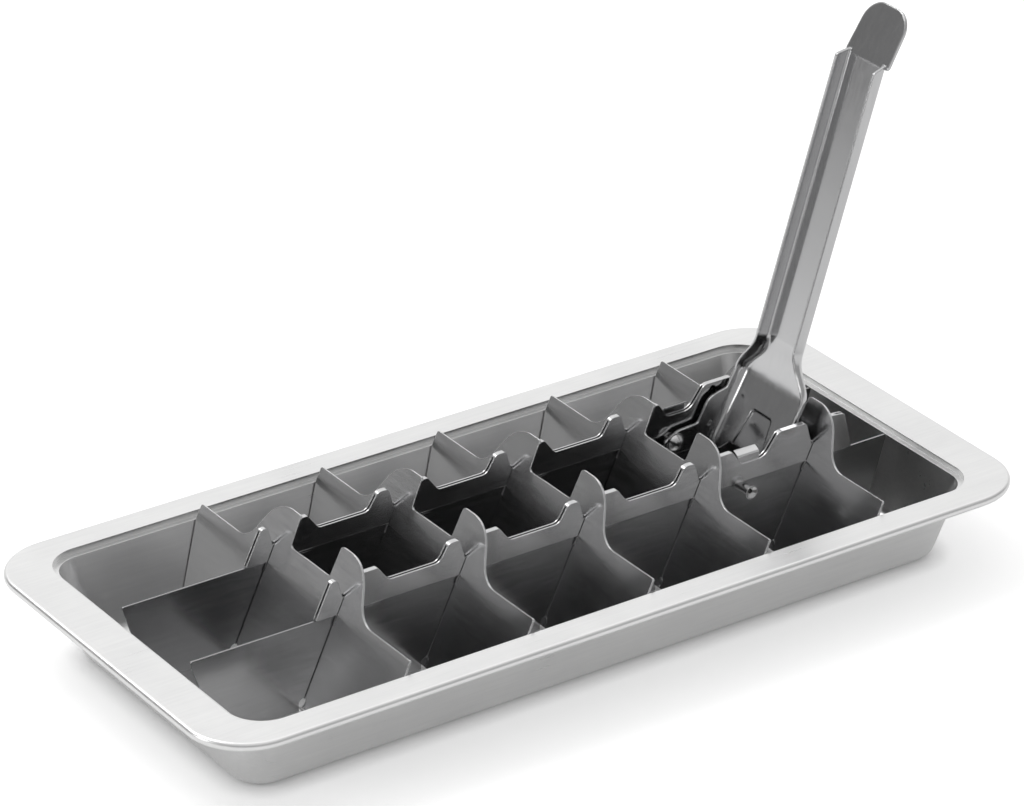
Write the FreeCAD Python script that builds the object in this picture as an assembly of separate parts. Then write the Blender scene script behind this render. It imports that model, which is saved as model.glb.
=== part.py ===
"""Lever ice cube tray.

A drawn sheet pan holds a lift-out grid: two fixed rails, five tilting dividers
and two slide bars.  Pulling the handle over its rivets shifts both slide bars,
which tip every divider at once and break the ice loose.

Frame: millimetres, Z up, pan centred on the origin, X toward the handle.
"""
import FreeCAD
import Part
import math
import os
from FreeCAD import Vector

os.makedirs("parts", exist_ok=True)

# ---- driving sizes: pan ----
pan_length = 301.0
pan_width = 143.8
pan_height = 29.0
pan_sheet = 0.8
rim_corner = 20.5
rim_depth = 2.9
rim_return = 1.9
rim_round = 1.3
flange_side = 10.2
flange_end = 15.0
opening_corner = 12.0
step_drop = 2.0
ledge_width = 1.9
floor_inset = 19.9
floor_corner = 11.0
floor_round = 5.0

# ---- driving sizes: grid ----
divider_count = 5
end_bay = 40.0
hinge_shift = -2.83
hinge_height = 3.0
divider_sheet = 0.8
open_tilt = 25.0
shut_tilt = -14.0
floor_gap = 0.6
wall_gap = 0.5

# ---- driving sizes: rails and slide bars ----
rail_offset = 19.9
rail_sheet = 0.6
rail_top = 29.7
rail_end_gap = 20.0
rail_end_slope = 8.8
strip_top = 34.4
strip_lead = 6.8
strip_tail = 9.6
slide_sheet = 0.5
slide_play = 0.1
slide_foot = 29.9
notch_floor = 35.3
notch_width = 1.8
shoulder_top = 41.4
hump_top = 41.9
low_flat = 36.2
raised_top = 43.4
rise_foot = 10.2
rise_top = 6.6
shoulder_end = 11.9
drop_foot = 15.8
last_shoulder_end = 12.1
last_drop_foot = 15.6
flat_back = 19.6
raised_back = 14.2
tab_back = 29.7
tab_length = 8.3
tab_rise = 2.8
tab_slope = 1.2

# ---- driving sizes: handle ----
pivot_back = 27.23
pivot_z = 27.5
handle_sheet = 1.0
ear_inner = 16.6
handle_swing = 108.0
web_half = 8.4
edge_half = 9.1
paddle_length = 18.6
paddle_half = 10.7
paddle_tip_half = 9.9
stud_radius = 0.75
stud_reach = 14.0
stud_angle = 13.5
stud_play = 0.15

# ---- driving sizes: rivets ----
pin_radius = 1.2
pin_play = 0.05
side_play = 0.05
spacer_radius = 2.0
collar_radius = 1.6
dome_radius = 2.9
dome_height = 1.7
disc_radius = 3.3
disc_sheet = 0.4
rivet_end = 24.8
flare_radius = 2.4
flare_height = 0.8

# ---- sizes that follow from the ones above ----
half_l = pan_length / 2
half_w = pan_width / 2
divider_pitch = (pan_length - 2 * end_bay) / divider_count
hinge_mid = (divider_count - 1) / 2
hinges = [hinge_shift + (i - hinge_mid) * divider_pitch for i in range(divider_count)]
notch_drop = notch_floor - hinge_height
open_lean = math.tan(math.radians(open_tilt))
shut_lean = math.tan(math.radians(shut_tilt))
slide_travel = notch_drop * (open_lean - shut_lean)
notches = [x + notch_drop * open_lean for x in hinges]
pivot_x = notches[-1] - pivot_back
rail_end_top = half_l - rail_end_gap
rail_end_foot = rail_end_top - rail_end_slope
strip_left = notches[0] - strip_lead
strip_right = notches[-1] - strip_tail
rail_inner = rail_offset - rail_sheet / 2
rail_outer = rail_offset + rail_sheet / 2
slide_inner = rail_inner - slide_play - slide_sheet
slide_outer = rail_outer + slide_play + slide_sheet
ear_outer = ear_inner + handle_sheet


def along_xz(u, w):
    return Vector(u, 0, w)


def level(z):
    return lambda u, w: Vector(u, w, z)


def outline(corners, place=along_xz):
    """Closed wire through corners (u, w, radius), each one rounded by its radius."""
    stops = []
    for i, (u, w, radius) in enumerate(corners):
        here = Vector(u, w, 0)
        nxt = corners[(i + 1) % len(corners)]
        back = (Vector(corners[i - 1][0], corners[i - 1][1], 0) - here).normalize()
        ahead = (Vector(nxt[0], nxt[1], 0) - here).normalize()
        if radius <= 0:
            stops.append((here, None, here))
            continue
        half = back.getAngle(ahead) / 2
        cut = radius / math.tan(half)
        bulge = radius / math.sin(half) - radius
        mid = here + (back + ahead).normalize() * bulge
        stops.append((here + back * cut, mid, here + ahead * cut))
    edges = []
    for i, (start, mid, stop) in enumerate(stops):
        a = place(start.x, start.y)
        b = place(stop.x, stop.y)
        c = stops[(i + 1) % len(stops)][0]
        c = place(c.x, c.y)
        if mid is not None:
            edges.append(Part.Arc(a, place(mid.x, mid.y), b).toShape())
        if (c - b).Length > slide_play / 100:
            edges.append(Part.makeLine(b, c))
    return Part.Wire(edges)


def plate(corners, y0, y1):
    """Sheet cut to an XZ outline, from y0 to y1."""
    return Part.Face(outline(corners)).extrude(Vector(0, y1 - y0, 0)).translated(Vector(0, y0, 0))


def frame_wire(half_x, half_y, radius, z):
    """Rounded rectangle lying level at height z."""
    corners = [(-half_x, -half_y, radius), (half_x, -half_y, radius)]
    corners += [(half_x, half_y, radius), (-half_x, half_y, radius)]
    return outline(corners, level(z))


def slab(half_x, half_y, radius, z0, z1):
    """Rounded rectangular block between two heights."""
    face = Part.Face(frame_wire(half_x, half_y, radius, z0))
    return face.extrude(Vector(0, 0, z1 - z0))


def rod(radius, x, z, y0, y1):
    """Round bar across the tray, from y0 to y1."""
    return Part.makeCylinder(radius, y1 - y0, Vector(x, y0, z), Vector(0, 1, 0))


def mirrored(shape):
    """The same piece on the other side of the tray."""
    return shape.mirror(Vector(0, 0, 0), Vector(0, 1, 0))


def save(shape, node):
    shape = shape.removeSplitter()
    shape.exportStep("parts/" + node + ".step")
    print(node, len(shape.Solids), round(shape.Volume, 1), shape.isValid())


# ---- pan: drawn bowl, stepped ledge, flat flange and rolled-under rim ----
step_z = pan_height - step_drop
wall_x = half_l - flange_end - ledge_width
wall_y = half_w - flange_side - ledge_width
wall_corner = opening_corner - ledge_width
foot_x = half_l - floor_inset
foot_y = half_w - floor_inset
lean_y = (wall_y + pan_sheet - foot_y) / step_z


def bowl(grow, z_low, floor_fillet):
    """Tapered tub whose walls stand `grow` outside the inner faces."""
    foot = frame_wire(foot_x - pan_sheet + grow, foot_y - pan_sheet + grow,
                      floor_corner - pan_sheet + grow, z_low)
    top = frame_wire(wall_x + grow, wall_y + grow, wall_corner + grow, step_z)
    tub = Part.makeLoft([foot, top], True, True)
    edges = [e for e in tub.Edges if e.BoundBox.ZMax < z_low + pan_sheet / 10]
    return tub.makeFillet(floor_fillet, edges)


rim = slab(half_l, half_w, rim_corner, pan_height - rim_depth, pan_height)
rim_edges = [e for e in rim.Edges if e.BoundBox.ZLength < rim_round / 10]
rim = rim.makeFillet(rim_round, rim_edges)
rim = rim.cut(slab(half_l - pan_sheet, half_w - pan_sheet, rim_corner - pan_sheet,
                   pan_height - rim_depth + pan_sheet, pan_height - pan_sheet))
rim = rim.cut(slab(half_l - rim_return, half_w - rim_return, rim_corner - rim_return,
                   pan_height - rim_depth, pan_height - pan_sheet))
open_x = half_l - flange_end
open_y = half_w - flange_side
collar = slab(open_x + pan_sheet, open_y + pan_sheet, opening_corner + pan_sheet,
              step_z - pan_sheet, pan_height)
pan = rim.fuse([collar, bowl(pan_sheet, 0.0, floor_round)])
pan = pan.cut(slab(open_x, open_y, opening_corner, step_z, pan_height))
pan = pan.cut(bowl(0.0, pan_sheet, floor_round - pan_sheet))
save(pan, "tray_pan")

# ---- dividers: finned plates with a stepped window round each rail ----
edge_level = 31.81
middle_level = 38.0
fin_top = 48.26
fin_inner = 11.0
window_top = 36.1
bridge_top = 1.4
bridge_foot = -(hinge_height - pan_sheet - floor_gap)
open_cos = math.cos(math.radians(open_tilt))
shoulder_half = 59.3
side_foot = foot_y - pan_sheet - wall_gap + lean_y * (hinge_height + bridge_foot * open_cos)
side_lean = lean_y * open_cos
side_bend = (shoulder_half - side_foot) / side_lean + bridge_foot
window_step = slide_foot - hinge_height - divider_sheet
slot_half = (slide_outer - slide_inner) / 2 + 0.2
throat_half = rail_sheet / 2 + 0.3


def divider_blank():
    """Divider standing upright over its hinge line, windows cut."""
    half = [(0.0, middle_level, 0.0), (fin_inner, middle_level, 0.8)]
    half += [(fin_inner + 0.6, fin_top, 1.2), (24.1, fin_top, 12.0)]
    half += [(32.4, edge_level, 9.0), (shoulder_half, edge_level, 0.8)]
    half += [(shoulder_half, side_bend, 2.0), (side_foot, bridge_foot, 6.0)]
    half += [(0.0, bridge_foot, 0.0)]
    right = [p for p in half if p[0] > 0]
    left = [(-u, w, r) for u, w, r in reversed(right)]
    blank = plate(right + left, -divider_sheet / 2, divider_sheet / 2)
    for side in (-1, 1):
        mid = side * rail_offset
        wide = [(mid - slot_half, window_step, 0.0), (mid + slot_half, window_step, 0.0)]
        wide += [(mid + slot_half, window_top, 0.4), (mid - slot_half, window_top, 0.4)]
        slim = [(mid - throat_half, bridge_top, 0.3), (mid + throat_half, bridge_top, 0.3)]
        slim += [(mid + throat_half, window_top, 0.0), (mid - throat_half, window_top, 0.0)]
        for hole in (wide, slim):
            blank = blank.cut(plate(hole, -divider_sheet, divider_sheet))
    blank.rotate(Vector(0, 0, 0), Vector(0, 0, 1), 90)
    return blank


for i, x in enumerate(hinges):
    divider = divider_blank()
    divider.rotate(Vector(0, 0, 0), Vector(0, 1, 0), open_tilt)
    divider.translate(Vector(x, 0, hinge_height))
    save(divider, "divider_" + str(i + 1))

# ---- fixed rails: notched feet for the hinges, guide strip inside the slide ----
bridge_mid = hinge_height + (bridge_top + bridge_foot) / 2
notch_reach = math.hypot((bridge_top - bridge_foot) / 2, divider_sheet / 2)
foot_notch = notch_reach + 0.25
rail = plate([(-rail_end_foot, pan_sheet, 1.0), (rail_end_foot, pan_sheet, 1.0),
              (rail_end_top, rail_top, 0.6), (strip_right, rail_top, 0.0),
              (strip_right, strip_top, 0.8), (strip_left, strip_top, 0.8),
              (strip_left, rail_top, 0.0), (-rail_end_top, rail_top, 0.6)],
             rail_inner, rail_outer)
for x in hinges:
    rail = rail.cut(rod(foot_notch, x, bridge_mid, rail_inner - 1, rail_outer + 1))
    throat = Part.makeBox(2 * foot_notch, 2, bridge_mid,
                          Vector(x - foot_notch, rail_offset - 1, 0))
    rail = rail.cut(throat)
# small stamped rests carry the lower edges of the slide bar
rest_lead = 19.2
rest_tail = 25.0
rest_half = 3.0
rest_low = rail_top - 0.6
rest_high = slide_foot - slide_play
for x in [x - rest_lead for x in hinges[1:]] + [hinges[-1] + rest_tail]:
    rest = plate([(x - rest_half, rest_low, 0.2), (x + rest_half, rest_low, 0.2),
                  (x + rest_half, rest_high, 0.2), (x - rest_half, rest_high, 0.2)],
                 slide_inner + 0.1, slide_outer - 0.1)
    rail = rail.fuse(rest)
rail = rail.cut(rod(pin_radius, pivot_x, pivot_z, rail_inner - 1, rail_outer + 1))
save(rail, "far_fixed_rail")
save(mirrored(rail), "near_fixed_rail")

# ---- slide bars: folded strips with a notch for every divider ----
shut_flank = math.tan(math.radians(-shut_tilt + 1.0))
open_flank = math.tan(math.radians(open_tilt + 1.0))
notch_half = notch_width / 2


def left_flank(x, z):
    return x - notch_half - (z - notch_floor) * shut_flank


def right_flank(x, z):
    return x + notch_half + (z - notch_floor) * open_flank


def notch(x, left_top, right_top):
    """Corners from the crest left of a notch, through it, to the crest on its right."""
    path = [(left_flank(x, left_top), left_top, 1.4)]
    path += [(x - notch_half, notch_floor, 0.3), (x + notch_half, notch_floor, 0.3)]
    path += [(right_flank(x, right_top), right_top, 1.2)]
    return path


last_flat = divider_pitch - last_drop_foot - flat_back
flat_round = min(5.0, 0.7 * last_flat)
crest = [(notches[0] - 10.7, slide_foot, 0.4), (notches[0] - 5.0, shoulder_top, 1.8)]
for i, x in enumerate(notches):
    last = i == divider_count - 1
    if i > 0 and not last:
        crest += [(x - rise_foot, low_flat, 3.0), (x - rise_top, hump_top, 2.6)]
    if last:
        crest += [(x - flat_back, low_flat, flat_round), (x - raised_back, raised_top, 3.0)]
    crest += notch(x, raised_top if last else hump_top, shoulder_top)
    if i < divider_count - 2:
        crest += [(x + shoulder_end, shoulder_top, 1.0), (x + drop_foot, low_flat, 2.0)]
    elif not last:
        crest += [(x + last_shoulder_end, shoulder_top, 1.0)]
        crest += [(x + last_drop_foot, low_flat, 2.0)]
last_x = notches[-1]
crest += [(last_x + 6.9, raised_top - 0.3, 1.5), (last_x + 12.0, raised_top - 0.8, 1.2)]
crest += [(last_x + 15.1, slide_foot, 0.4)]
slide = plate(crest, slide_inner, slide_outer)
fold_room = shoulder_top - slide_sheet
channel = Part.makeBox(pan_length, rail_sheet + 2 * slide_play, fold_room,
                       Vector(-half_l, rail_inner - slide_play, 0))
raised_room = Part.makeBox(pan_length, rail_sheet + 2 * slide_play, raised_top - slide_sheet,
                           Vector(last_x - flat_back + slide_sheet, rail_inner - slide_play, 0))
slide = slide.cut(channel)
slide = slide.cut(raised_room)

# the tab bent up and over the low flat beside the handle
tab_left = last_x - tab_back
tab_edge = ear_outer + 0.3
tab_top = low_flat + tab_rise


def across_tab(u, w):
    return Vector(tab_left, u, w)


tab_front = slide_outer - 0.45
tab = outline([(tab_front, low_flat - slide_sheet, 0.0), (tab_front, tab_top, 0.8),
               (tab_edge, tab_top + tab_slope, 0.0),
               (tab_edge + 0.2, tab_top + tab_slope - slide_sheet, 0.0),
               (tab_front - slide_sheet, tab_top - slide_sheet, 0.3),
               (tab_front - slide_sheet, low_flat - slide_sheet, 0.0)], across_tab)
slide = slide.fuse(Part.Face(tab).extrude(Vector(tab_length, 0, 0)))


def cam_point(turn):
    """Stud centre seen from the slide bar when the handle has turned by `turn` degrees."""
    a = math.radians(stud_angle + turn)
    shift = slide_travel * turn / handle_swing
    return Vector(pivot_x + stud_reach * math.cos(a) + shift, 0,
                  pivot_z + stud_reach * math.sin(a))


# cam slot: the path that keeps the slide bar moving evenly with the handle
cam_steps = 24
cam_radius = stud_radius + stud_play
path = [cam_point(handle_swing * k / cam_steps) for k in range(-1, cam_steps + 1)]
slot = rod(cam_radius, path[0].x, path[0].z, slide_inner - 1, rail_inner - slide_play)
for a, b in zip(path[:-1], path[1:]):
    across = Vector(0, 1, 0).cross(b - a).normalize() * cam_radius
    step = Part.Face(Part.makePolygon([a + across, b + across, b - across, a - across,
                                       a + across]))
    step = step.extrude(Vector(0, 1 + slide_sheet, 0)).translated(Vector(0, slide_inner - 1, 0))
    slot = slot.fuse([step, rod(cam_radius, b.x, b.z, slide_inner - 1,
                                rail_inner - slide_play)])
slide = slide.cut(slot)
save(slide, "far_slide_bar")
save(mirrored(slide), "near_slide_bar")

# ---- handle: flared channel on two ears ----
def across_handle(x, z, lean):
    """Plane square to the handle at (x, z): u across the tray, w out of its hollow side."""
    c = math.cos(math.radians(lean))
    s = math.sin(math.radians(lean))
    return lambda u, w: Vector(x - w * c, u, z + w * s)


def channel_wire(x, z, lean, half, edge, depth, bend):
    """Flared channel section; `half` at the web, `edge` at the free edges."""
    flare = math.atan2(edge - half, depth)
    c = math.cos(flare)
    s = math.sin(flare)
    t = handle_sheet
    back = half + t * c - t * (1 - s) * math.tan(flare)
    right = [(half, 0.0, bend), (edge, depth, 0.0), (edge + t * c, depth - t * s, 0.0)]
    right += [(back, -t, bend + t)]
    left = [(-u, w, r) for u, w, r in reversed(right)]
    return outline(right + left, across_handle(x, z, lean))


base_lean = 29.5
base_length = 26.0
arch_at = 22.4
stamp_depth = 0.5
ear_depth = 3.0
bend = 0.9
base_bend = 2.7
neck_x = pivot_x + 26.7
neck_z = 46.0
shaft_x = pivot_x + 30.8
shaft_z = 61.3
grip_x = pivot_x + 58.6
grip_z = 149.0
shaft_lean = math.degrees(math.atan2(grip_x - shaft_x, grip_z - shaft_z))
neck = [(neck_x, neck_z, base_lean, ear_inner, ear_inner + 0.01, ear_depth, base_bend)]
neck += [(neck_x + 1.2, neck_z + 3.3, 22.0, ear_inner - 1.2, ear_inner - 0.6, 3.3, base_bend)]
neck += [(neck_x + 2.1, neck_z + 6.3, 16.0, ear_inner - 3.6, ear_inner - 2.4, 3.6, 3.0)]
neck += [(neck_x + 2.9, neck_z + 9.3, 15.0, ear_inner - 6.1, ear_inner - 4.8, 3.9, 3.2)]
neck += [(neck_x + 3.5, neck_z + 12.2, 16.0, web_half + 0.6, edge_half + 0.8, 4.1, 2.2)]
neck += [(shaft_x, shaft_z, shaft_lean, web_half, edge_half, 4.3, bend)]
along = Vector(math.sin(math.radians(shaft_lean)), 0, math.cos(math.radians(shaft_lean)))
hollow = Vector(-along.z, 0, along.x)
grip = Vector(grip_x, 0, grip_z)
end_over = 6.0
shaft_end = grip + along * end_over
shaft = [neck[-1], (shaft_end.x, shaft_end.z, shaft_lean, web_half, edge_half, 4.3, bend)]
handle = Part.makeLoft([channel_wire(*s) for s in neck], True, False)
shaft = Part.makeLoft([channel_wire(*s) for s in shaft], True, True)


def up_side(u, w):
    """Side view of the grip: u out of the hollow, w along the handle."""
    spot = grip + hollow * u + along * w
    return Vector(spot.x, -paddle_half - 1, spot.z)


# the side walls end in rounded corners just under the paddle
fold_at = 3.8
wall_end = 4.7
trim = outline([(0.0, wall_end, 0.0), (4.6, 2.0, 2.8), (4.6, -2.0, 0.0), (6.5, -2.0, 0.0),
                (6.5, 9.0, 0.0), (-3.0, 9.0, 0.0), (-3.0, fold_at, 0.0),
                (0.0, fold_at, 0.0)], up_side)
shaft = shaft.cut(Part.Face(trim).extrude(Vector(0, 2 * paddle_half + 2, 0)))
handle = handle.fuse(shaft)

# base panel and ears
down = Vector(-math.sin(math.radians(base_lean)), 0, -math.cos(math.radians(base_lean)))
base = Part.Face(channel_wire(*neck[0])).extrude(down * base_length)
panel = across_handle(neck_x, neck_z, base_lean)
out = panel(0, 1) - panel(0, 0)


def on_panel(u, w):
    """Point on the base panel: u across the tray, w down from the neck."""
    return panel(u, 0) + down * w


# the lower edge is arched between the ears
arch = outline([(-12.0, base_length + 1, 0.0), (-12.0, base_length, 0.0), (-9.0, arch_at, 1.2),
                (9.0, arch_at, 1.2), (12.0, base_length, 0.0),
                (12.0, base_length + 1, 0.0)], on_panel)
base = base.cut(Part.Face(arch).extrude(out * 4).translated(out * -2))


def stamping(depth, shrink):
    """Outline of the stamped field at a depth below the panel's visible face."""
    corners = [(-5.0 + shrink, 8.8 + shrink, 1.4), (5.0 - shrink, 8.8 + shrink, 1.4),
               (7.6 - shrink, arch_at + 1, 0.0), (-7.6 + shrink, arch_at + 1, 0.0)]
    return outline(corners, lambda u, w: on_panel(u, w) - out * depth)


# shallow field pressed into the panel; the same shape stands proud behind
field = Part.makeLoft([stamping(-0.2, -0.2), stamping(stamp_depth, stamp_depth)], True, True)
boss = Part.makeLoft([stamping(handle_sheet - 0.2, 0.2),
                      stamping(handle_sheet + stamp_depth, stamp_depth + 0.2)], True, True)
keep = Part.Face(outline([(-20.0, -2.0, 0.0), (20.0, -2.0, 0.0), (20.0, arch_at, 0.0),
                          (-20.0, arch_at, 0.0)], on_panel))
boss = boss.common(keep.extrude(out * 8).translated(out * -4))
base = base.fuse(boss).cut(field)
handle = handle.fuse(base)
foot = neck_x + down.x * base_length
foot_z = neck_z + down.z * base_length
eye = 4.3
ear = plate([(neck_x - 2.5, neck_z + 1.4, 0.0),
             (pivot_x + 20.8, pivot_z + 13.9, 1.5), (pivot_x + 13.4, pivot_z + 12.3, 6.0),
             (pivot_x + 9.2, pivot_z + eye, 1.2), (pivot_x + 1.4, pivot_z + eye - 0.6, 3.0),
             (pivot_x - eye, pivot_z + 0.8, 1.6), (pivot_x - eye, pivot_z - eye, 3.6),
             (foot - 3.3, pivot_z - eye, 0.0), (foot - 2.5, foot_z + 1.4, 0.0)], ear_inner, ear_outer)
ear = ear.cut(rod(pin_radius + pin_play, pivot_x, pivot_z, ear_inner - 1, ear_outer + 1))
stud_x = cam_point(0).x
stud_z = cam_point(0).z
ear = ear.cut(rod(stud_radius, stud_x, stud_z, ear_inner - 1, ear_outer + 1))
handle = handle.fuse([ear, mirrored(ear)])

# flat paddle bent back from the shaft, rounded at the tip
paddle_lean = 31.5
tip = Vector(math.sin(math.radians(paddle_lean)), 0, math.cos(math.radians(paddle_lean)))
fold = grip + along * fold_at


def up_paddle(u, w):
    return Vector(fold.x, u, fold.z) + tip * w


paddle = outline([(-paddle_half, -0.3, 1.3), (paddle_half, -0.3, 1.3),
                  (paddle_tip_half, paddle_length, 7.6),
                  (-paddle_tip_half, paddle_length, 7.6)], up_paddle)
handle = handle.fuse(Part.Face(paddle).extrude(Vector(tip.z, 0, -tip.x) * handle_sheet))
save(handle, "lever_handle")

# ---- rivets, discs, spacers, collars and drive studs ----
head_face = ear_inner - side_play
disc = rod(disc_radius, pivot_x, pivot_z, head_face - disc_sheet, head_face)
disc = disc.cut(rod(pin_radius, pivot_x, pivot_z, 0, half_w))
ball = (dome_radius ** 2 + dome_height ** 2) / (2 * dome_height)
seat = head_face - disc_sheet
dome = Part.makeSphere(ball, Vector(pivot_x, seat - dome_height + ball, pivot_z))
dome = dome.common(rod(dome_radius + 1, pivot_x, pivot_z, seat - dome_height - 1, seat))
rivet = dome.fuse(rod(pin_radius, pivot_x, pivot_z, seat, rivet_end))
flare = Part.makeCone(collar_radius, flare_radius, flare_height,
                      Vector(pivot_x, rivet_end - flare_height, pivot_z), Vector(0, 1, 0))
rivet = rivet.fuse(flare)
bore = Part.makeCone(pin_radius * 0.6, flare_radius * 0.8, flare_height,
                     Vector(pivot_x, rivet_end - flare_height, pivot_z), Vector(0, 1, 0))
rivet = rivet.cut(bore)
rivet = rivet.cut(rod(pin_radius * 0.6, pivot_x, pivot_z, rail_outer + 1, rivet_end))
spacer = rod(spacer_radius, pivot_x, pivot_z, ear_outer + side_play, rail_inner)
spacer = spacer.cut(rod(pin_radius, pivot_x, pivot_z, 0, half_w))
sleeve = rod(collar_radius, pivot_x, pivot_z, rail_outer, rivet_end - flare_height)
sleeve = sleeve.cut(rod(pin_radius, pivot_x, pivot_z, 0, half_w))
stud = rod(stud_radius, stud_x, stud_z, ear_inner, rail_inner - slide_play - 0.08)
for shape, node in ((rivet, "pivot_rivet"), (disc, "rivet_disc"), (spacer, "ear_spacer"),
                    (sleeve, "rivet_collar"), (stud, "drive_stud")):
    save(shape, "far_" + node)
    save(mirrored(shape), "near_" + node)
print("slide travel", round(slide_travel, 3), "tilt ratio",
      round((open_tilt - shut_tilt) / handle_swing, 5))
print("notches", [round(x, 2) for x in notches])
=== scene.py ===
import bpy
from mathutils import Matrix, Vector

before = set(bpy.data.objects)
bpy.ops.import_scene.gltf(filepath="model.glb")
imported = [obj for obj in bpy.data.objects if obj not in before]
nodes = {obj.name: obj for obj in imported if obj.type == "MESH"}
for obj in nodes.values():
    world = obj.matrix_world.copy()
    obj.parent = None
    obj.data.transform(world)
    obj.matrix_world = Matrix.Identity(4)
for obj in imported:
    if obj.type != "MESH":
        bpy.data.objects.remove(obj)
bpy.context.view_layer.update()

print("solids loaded:", len(nodes))

# %% [markdown]
# The camera stands where the photograph was taken from: left of the tray, in front of it and
# above.  A wide lens close by would spread the near corner of the pan.  The photograph keeps
# the long edges almost parallel, so a long lens from far away is used.
# %% Camera
CAMERA_SPOT = Vector((-0.7957, -1.1659, 0.7935))
CAMERA_AIM = Vector((0.07371, 0.11011, 0.002))
LENS_MM = 181.0
SENSOR_MM = 36.0


def turn_toward(spot, aim):
    """The rotation that points a camera or a lamp from spot to aim."""
    return (Vector(aim) - Vector(spot)).to_track_quat("-Z", "Y").to_euler()


camera_data = bpy.data.cameras.new("photo_camera")
camera_data.lens = LENS_MM
camera_data.sensor_width = SENSOR_MM
camera_data.sensor_fit = "HORIZONTAL"
camera_data.clip_start = 0.05
camera_data.clip_end = 50.0
camera = bpy.data.objects.new("photo_camera", camera_data)
camera.location = CAMERA_SPOT
camera.rotation_euler = turn_toward(CAMERA_SPOT, CAMERA_AIM)
bpy.context.scene.collection.objects.link(camera)
bpy.context.scene.camera = camera
bpy.context.scene.view_settings.view_transform = "Standard"
print("camera to tray:", round((CAMERA_AIM - CAMERA_SPOT).length, 3), "m")

# %% [markdown]
# A material is a small tree of nodes.  It could be wired by hand in the shader editor, but a
# script is easier to read and to change.  These helpers make a tree, add a node, join two
# sockets and work out one sum or product, so that each finish below reads as a short list of
# what feeds what.
# %% Node helpers


def new_material(name):
    made = bpy.data.materials.new(name)
    made.use_nodes = True
    made.node_tree.nodes.clear()
    return made, made.node_tree


def add(tree, kind, **values):
    """A node.  A value named in_X goes to the input X, any other to the node itself."""
    node = tree.nodes.new(kind)
    for key, value in values.items():
        if key.startswith("in_"):
            node.inputs[key[3:].replace("_", " ")].default_value = value
        else:
            setattr(node, key, value)
    return node


def join(tree, start, end):
    tree.links.new(start, end)


def work_out(tree, operation, first, second):
    """The result of two sockets, or of a socket and a plain number."""
    node = add(tree, "ShaderNodeMath", operation=operation)
    for socket, value in zip(node.inputs, (first, second)):
        if isinstance(value, float):
            socket.default_value = value
        else:
            join(tree, value, socket)
    return node.outputs[0]


print("node helpers ready")

# %% [markdown]
# Sheet steel is never one flat grey.  Rolling and brushing leave fine streaks along one
# direction, and handling leaves cloudy patches where the shine is softer.  A picture of steel
# would need unwrapping and would show seams at the folds, so the pattern is two noises in the
# object's own space: one stretched along the brushing, and one slow and cloudy.
# %% Streaks and clouds of sheet steel
CLOUD_SCALE = 55.0
CLOUD_SHARE = 0.45
PATTERN_LOW = 0.30
PATTERN_HIGH = 0.70


def noise(tree, place, scale, detail, roughness=0.5):
    made = add(tree, "ShaderNodeTexNoise", in_Scale=scale, in_Detail=detail,
               in_Roughness=roughness)
    join(tree, place, made.inputs["Vector"])
    return made.outputs["Fac"]


def steel_pattern(tree, place, streak):
    """The brushed streaks alone, and the streaks mixed with the clouds."""
    stretch = add(tree, "ShaderNodeMapping", in_Scale=streak)
    join(tree, place, stretch.inputs["Vector"])
    brushed = noise(tree, stretch.outputs["Vector"], 1.0, 5.0, 0.62)
    clouds = noise(tree, place, CLOUD_SCALE, 4.0, 0.55)
    both = add(tree, "ShaderNodeMix", data_type="FLOAT")
    both.inputs[0].default_value = CLOUD_SHARE
    join(tree, brushed, both.inputs[2])
    join(tree, clouds, both.inputs[3])
    return brushed, both.outputs[0]


print("streaks run from", PATTERN_LOW, "to", PATTERN_HIGH)

# %% [markdown]
# A cut or folded edge of real sheet is a little round, and it catches the light as a thin
# line.  Rounding every edge of the solids would cost many faces, so a bevel node rounds the
# shading only.  The brushing is a very shallow bump over that, and the waves that pressing
# leaves in a panel are a slow and wider one.
# %% Edges, grain and waves of sheet steel
EDGE_RADIUS = 0.00025
GRAIN_DEPTH = 0.0002
WAVE_DEPTH = 0.001
WAVE_SCALE = 22.0


def steel_normal(tree, place, brushed, grain, wave, edge):
    soft_edge = add(tree, "ShaderNodeBevel", samples=6, in_Radius=edge)
    fine = add(tree, "ShaderNodeBump", in_Strength=grain, in_Distance=GRAIN_DEPTH)
    join(tree, brushed, fine.inputs["Height"])
    join(tree, soft_edge.outputs["Normal"], fine.inputs["Normal"])
    waves = add(tree, "ShaderNodeBump", in_Strength=wave, in_Distance=WAVE_DEPTH)
    join(tree, noise(tree, place, WAVE_SCALE, 2.0), waves.inputs["Height"])
    join(tree, fine.outputs["Normal"], waves.inputs["Normal"])
    return waves.outputs["Normal"]


print("edges are rounded by", 1000 * EDGE_RADIUS, "mm")

# %% [markdown]
# Every finish of the tray is the same metal with other numbers, so one function makes them
# all.  The pattern drives both the colour and the roughness, because a lighter streak on
# brushed steel is also a duller one.
# %% Sheet steel finish


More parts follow.
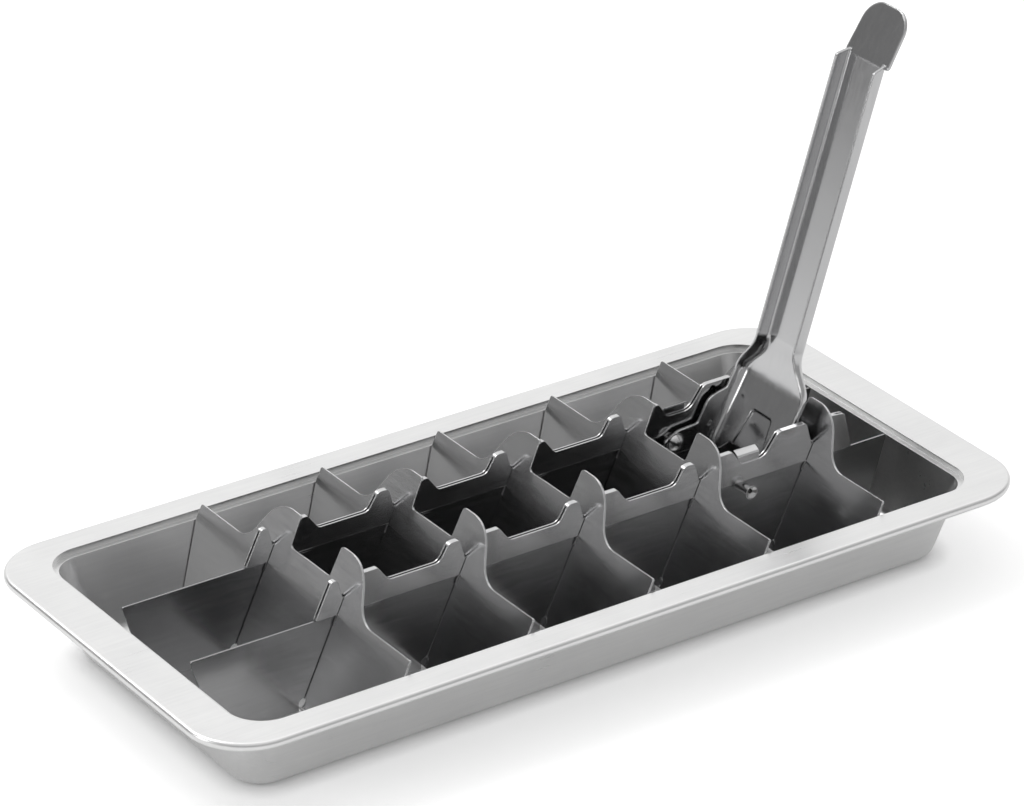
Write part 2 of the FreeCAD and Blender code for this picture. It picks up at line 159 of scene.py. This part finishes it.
def sheet_steel(name, dark, light, shine, streak, grain=0.04, wave=0.10, edge=EDGE_RADIUS):
    """Metal whose colour runs from dark to light and roughness over shine, brushed by streak."""
    made, tree = new_material(name)
    place = add(tree, "ShaderNodeTexCoord").outputs["Object"]
    brushed, pattern = steel_pattern(tree, place, streak)
    tint = add(tree, "ShaderNodeValToRGB")
    stops = zip(tint.color_ramp.elements, (PATTERN_LOW, PATTERN_HIGH), (dark, light))
    for stop, position, colour in stops:
        stop.position = position
        stop.color = (*colour, 1.0)
    join(tree, pattern, tint.inputs["Fac"])
    rough = add(tree, "ShaderNodeMapRange", in_From_Min=PATTERN_LOW, in_From_Max=PATTERN_HIGH,
                in_To_Min=shine[0], in_To_Max=shine[1])
    join(tree, pattern, rough.inputs["Value"])
    metal = add(tree, "ShaderNodeBsdfPrincipled", in_Metallic=1.0)
    join(tree, tint.outputs["Color"], metal.inputs["Base Color"])
    join(tree, rough.outputs["Result"], metal.inputs["Roughness"])
    normal = steel_normal(tree, place, brushed, grain, wave, edge)
    join(tree, normal, metal.inputs["Normal"])
    out = add(tree, "ShaderNodeOutputMaterial")
    join(tree, metal.outputs["BSDF"], out.inputs["Surface"])
    return made


def dress(names, finish):
    """Gives the named solids one finish and says so."""
    for name in names:
        slots = nodes[name].data.materials
        slots.clear()
        slots.append(finish)
    print(finish.name, "on", len(names), "solids")


# %% [markdown]
# The pan is satin steel.  Its flange is the brightest part of the tray, so its colour is the
# palest here and its shine is soft.  The brushing runs along the pan.
# %% Pan finish
pan_steel = sheet_steel("pan_satin_steel", (0.74, 0.74, 0.74), (0.82, 0.82, 0.815),
                        (0.26, 0.36), (40.0, 900.0, 900.0))
dress(["tray_pan"], pan_steel)

# %% [markdown]
# The dividers are thin polished sheet, brushed across the tray.  They mirror each other and
# the dark inside of the pan, so they look darker than the flange without being dark metal.
# %% Divider finish
dividers = sorted(name for name in nodes if name.startswith("divider"))
divider_steel = sheet_steel("divider_polished_steel", (0.56, 0.56, 0.565), (0.63, 0.63, 0.635),
                            (0.16, 0.24), (700.0, 60.0, 700.0), grain=0.004, wave=0.02)
dress(dividers, divider_steel)

# %% [markdown]
# The rails and the slide bars are rolled strip, brushed along the tray.  The rails are the
# darkest metal: their colour is partly a darker tone of their own and partly painted shade under
# the slide bars, which are coloured lighter.
# %% Rail and slide bar finishes
SIDES = ("near_", "far_")
# The rails' dark colour is partly painted shade under the slide bars.
rail_steel_painted_shade = sheet_steel("rail_polished_steel_painted_shade", (0.33, 0.33, 0.335), (0.39, 0.39, 0.395),
                         (0.16, 0.24), (60.0, 700.0, 700.0), grain=0.004, wave=0.02)
dress([side + "fixed_rail" for side in SIDES], rail_steel_painted_shade)
slide_steel = sheet_steel("slide_polished_steel", (0.60, 0.60, 0.605), (0.68, 0.68, 0.685),
                          (0.14, 0.21), (60.0, 700.0, 700.0), grain=0.006, wave=0.02)
dress([side + "slide_bar" for side in SIDES], slide_steel)

# %% [markdown]
# The handle is heavier sheet, brushed along its length.  Thicker metal folds to a softer
# corner, so its edges are rounded more than those of the grid.
# %% Handle finish
HANDLE_EDGE_RADIUS = 0.0008
handle_steel = sheet_steel("handle_brushed_steel", (0.50, 0.50, 0.505), (0.56, 0.56, 0.565),
                           (0.11, 0.17), (500.0, 700.0, 60.0), grain=0.010, wave=0.05,
                           edge=HANDLE_EDGE_RADIUS)
dress(["lever_handle"], handle_steel)

# %% [markdown]
# The rivets and what sits on them are turned parts.  They are small and bright, and their
# brushing is alike in every direction.
# %% Rivet finish
rivet_steel = sheet_steel("rivet_bright_steel", (0.55, 0.55, 0.55), (0.70, 0.70, 0.70),
                          (0.14, 0.24), (600.0, 600.0, 600.0))
small_parts = ("pivot_rivet", "rivet_disc", "ear_spacer", "rivet_collar", "drive_stud")
dress([side + part for side in SIDES for part in small_parts], rivet_steel)

# %% [markdown]
# The tray stands on a pale floor that runs past every edge of the picture.  A curved paper
# sweep would do the same, but one large square is simpler and has no fold to hide.
# %% Floor
FLOOR_REACH = 12.0
floor_mesh = bpy.data.meshes.new("pale_floor")
corners = [(-1, -1), (1, -1), (1, 1), (-1, 1)]
floor_mesh.from_pydata([(x * FLOOR_REACH, y * FLOOR_REACH, 0.0) for x, y in corners], [],
                       [(0, 1, 2, 3)])
floor = bpy.data.objects.new("pale_floor", floor_mesh)
bpy.context.scene.collection.objects.link(floor)
print("floor:", 2 * FLOOR_REACH, "m wide")

# %% [markdown]
# A white floor under plain light comes out grey, and brighter lamps would burn out the pan.
# So the floor takes the soft shadow as a matte surface, and the rest of its white is a light of
# its own, for the camera and more weakly for mirrors.  The camera's part fades where the pan
# stands on the floor, so an occlusion node paints a thin contact shadow under the pan's foot.
# %% Floor finish
FLOOR_COLOUR = (0.80, 0.80, 0.80, 1.0)
PAINTED_SHADOW_REACH = 0.007
CAMERA_GLOW = 0.45
MIRROR_GLOW = 0.16

floor_white, tree = new_material("pale_floor")
matte = add(tree, "ShaderNodeBsdfDiffuse", in_Color=FLOOR_COLOUR)
rays = add(tree, "ShaderNodeLightPath")
# The occlusion paints shade into the floor's glow near the pan, as a painted contact shadow.
painted_contact_shadow = add(tree, "ShaderNodeAmbientOcclusion", samples=16, in_Distance=PAINTED_SHADOW_REACH)
page_glow = work_out(tree, "MULTIPLY", painted_contact_shadow.outputs["AO"], CAMERA_GLOW)
seen_glow = work_out(tree, "MULTIPLY", rays.outputs["Is Camera Ray"], page_glow)
mirrored_glow = work_out(tree, "MULTIPLY", rays.outputs["Is Glossy Ray"], MIRROR_GLOW)
glow = add(tree, "ShaderNodeEmission")
join(tree, work_out(tree, "ADD", seen_glow, mirrored_glow), glow.inputs["Strength"])
total = add(tree, "ShaderNodeAddShader")
join(tree, matte.outputs["BSDF"], total.inputs[0])
join(tree, glow.outputs["Emission"], total.inputs[1])
out = add(tree, "ShaderNodeOutputMaterial")
join(tree, total.outputs["Shader"], out.inputs["Surface"])
floor_mesh.materials.append(floor_white)
print("floor glow:", CAMERA_GLOW, "for the camera,", MIRROR_GLOW, "for mirrors")

# %% [markdown]
# Metal shows its surroundings, so the room matters more than the lamps.  The studio is a soft
# dome.  A broad bright screen stands behind the tray, where the flat flange mirrors it, the
# ceiling is a little brighter than the walls, and the far left of the room is darker, so that
# the upright metal has something dark to show.
# %% Dome light
WHITE = (1.0, 1.0, 1.0, 1.0)
WALL_LIGHT = 0.45
world = bpy.data.worlds.new("studio")
world.use_nodes = True
tree = world.node_tree
tree.nodes.clear()
place = add(tree, "ShaderNodeTexCoord").outputs["Generated"]


def glow_from(direction, near, full, amount):
    """Light that grows to amount as the view turns from near to full toward direction."""
    toward = add(tree, "ShaderNodeVectorMath", operation="DOT_PRODUCT")
    toward.inputs[1].default_value = Vector(direction).normalized()
    join(tree, place, toward.inputs[0])
    grow = add(tree, "ShaderNodeMapRange", interpolation_type="SMOOTHSTEP", in_From_Min=near,
               in_From_Max=full, in_To_Min=0.0, in_To_Max=amount)
    join(tree, toward.outputs["Value"], grow.inputs["Value"])
    return grow.outputs["Result"]


screen = glow_from((0.50, 0.74, 0.46), 0.40, 0.95, 0.52)
ceiling = glow_from((0.0, 0.0, 1.0), 0.45, 1.0, 0.40)
dark_end = glow_from((-0.66, 0.74, 0.10), 0.80, 0.97, -0.20)
strength = work_out(tree, "ADD", screen, WALL_LIGHT)
for part in (ceiling, dark_end):
    strength = work_out(tree, "ADD", strength, part)
dome = add(tree, "ShaderNodeBackground", in_Color=WHITE)
join(tree, strength, dome.inputs["Strength"])
print("dome light:", WALL_LIGHT, "at the walls")

# %% [markdown]
# The camera itself sees plain white instead of the dome, as in the photograph.  Mirrors and
# matte surfaces still see the dome.
# %% White page behind the tray
page = add(tree, "ShaderNodeBackground", in_Color=WHITE, in_Strength=1.0)
rays = add(tree, "ShaderNodeLightPath")
seen = add(tree, "ShaderNodeMixShader")
join(tree, rays.outputs["Is Camera Ray"], seen.inputs[0])
join(tree, dome.outputs["Background"], seen.inputs[1])
join(tree, page.outputs["Background"], seen.inputs[2])
out = add(tree, "ShaderNodeOutputWorld")
join(tree, seen.outputs["Shader"], out.inputs["Surface"])
bpy.context.scene.world = world
print("world:", world.name)

# %% [markdown]
# A dome alone gives hardly any shadow.  One large lamp behind the tray on the left throws the
# soft shadow that lies in front of the pan, and a weaker one low on the left lifts the dark
# under the end of the flange.  It stands behind the front wall, so that it doesn't graze it.
# %% Lamps


def soft_lamp(name, spot, aim, size, watts):
    data = bpy.data.lights.new(name, "AREA")
    data.shape = "SQUARE"
    data.size = size
    data.energy = watts
    lamp = bpy.data.objects.new(name, data)
    lamp.location = spot
    lamp.rotation_euler = turn_toward(spot, aim)
    bpy.context.scene.collection.objects.link(lamp)


soft_lamp("key_lamp", (-0.5, 0.9, 1.4), (0.0, 0.0, 0.0), 0.9, 8.0)
soft_lamp("left_fill", (-1.3, 0.35, 0.5), (-0.1, 0.0, 0.02), 0.5, 2.2)
print("lamps:", len(bpy.data.lights))
